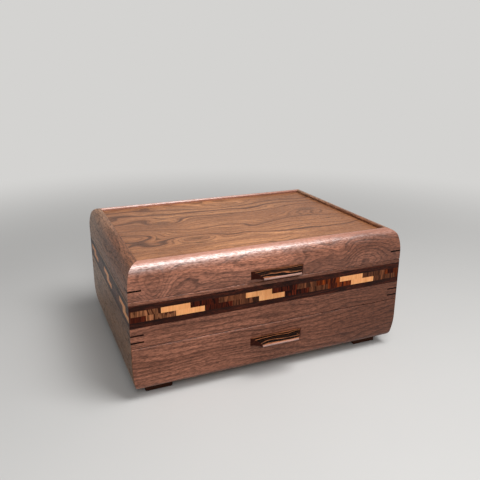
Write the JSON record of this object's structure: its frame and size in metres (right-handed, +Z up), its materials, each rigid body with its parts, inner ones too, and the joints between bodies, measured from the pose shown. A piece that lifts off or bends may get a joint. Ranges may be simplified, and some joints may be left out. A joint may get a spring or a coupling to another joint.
{
  "type": "cufflink box",
  "caption": "Walnut cufflink box with hinged lid, stepped banding, divided top compartment and a dovetailed drawer.",
  "frame": {"origin": "on the surface that the feet stand on, under the middle of the whole outline, handles and hinge knuckles included", "axes": "+X to the right along the front, +Y from the front to the back, +Z up"},
  "size_m": [0.33, 0.2671, 0.153],
  "materials": {
    "band_walnut": "oiled walnut, fine upright grain",
    "birch_ply": "sealed birch",
    "brass": "brushed brass",
    "cocobolo": "oiled cocobolo, dark with orange upright stripes",
    "divider_walnut": "waxed walnut",
    "drawer_maple": "waxed pale maple",
    "felt": "black wool felt",
    "figured_walnut": "oiled figured walnut panel, satin, dark streaks and a crotch swirl",
    "maple": "oiled maple, warm, fine grain",
    "rosewood": "oiled dark rosewood with thin red streaks",
    "steel_screws": "zinc plated steel",
    "suede": "black suede",
    "walnut": "oiled black walnut, satin, fine straight grain",
    "wenge": "oiled wenge, near black",
    "zebrano": "oiled striped zebrano, upright stripes",
    "ziricote": "polished streaked hardwood, near black with orange streaks"
  },
  "bodies": {
    "case": {"band_cocobolo_blocks": "cocobolo", "band_corner_posts": "wenge", "band_lower_strips": "wenge", "band_maple_blocks": "maple", "band_rosewood_blocks": "rosewood", "band_upper_strips": "wenge", "band_walnut_blocks": "band_walnut", "band_zebrano_blocks": "zebrano", "case_back": "walnut", "case_bottom": "birch_ply", "case_front_rail": "walnut", "case_left_side": "walnut", "case_right_side": "walnut", "case_splines": "wenge", "compartment_felt": "felt", "compartment_floor": "birch_ply", "cross_divider_1": "divider_walnut", "cross_divider_2": "divider_walnut", "cross_divider_3": "divider_walnut", "cross_divider_4": "divider_walnut", "cross_divider_5": "divider_walnut", "foot_back_left": "walnut", "foot_back_right": "walnut", "foot_front_left": "walnut", "foot_front_right": "walnut", "hinge_case_screws": "brass", "hinge_left_case_leaf": "brass", "hinge_left_pin": "brass", "hinge_right_case_leaf": "brass", "hinge_right_pin": "brass", "long_divider_1": "divider_walnut", "long_divider_2": "divider_walnut", "long_divider_3": "divider_walnut"},
    "lid": {"hinge_left_lid_leaf": "brass", "hinge_lid_screws": "brass", "hinge_right_lid_leaf": "brass", "lid_back_rail": "walnut", "lid_front_rail": "walnut", "lid_handle": "ziricote", "lid_handle_screws": "steel_screws", "lid_left_rail": "walnut", "lid_lining": "suede", "lid_panel": "figured_walnut", "lid_right_rail": "walnut", "lid_splines": "wenge"},
    "drawer": {"drawer_back": "drawer_maple", "drawer_bottom": "birch_ply", "drawer_box_front": "drawer_maple", "drawer_cross_divider": "divider_walnut", "drawer_felt": "felt", "drawer_front": "walnut", "drawer_front_screws": "steel_screws", "drawer_handle": "ziricote", "drawer_handle_screws": "steel_screws", "drawer_left_side": "drawer_maple", "drawer_long_divider": "divider_walnut", "drawer_right_side": "drawer_maple"}
  },
  "joints": [
    {"name": "lid_hinge", "type": "hinge", "parent": "case", "child": "lid", "pos_m": [0, 0.13095, 0.1155], "axis": [-1, 0, 0], "range_deg": [0, 95]},
    {"name": "drawer_slide", "type": "slide", "parent": "case", "child": "drawer", "axis": [0, -1, 0], "range_m": [0, 0.16]}
  ]
}
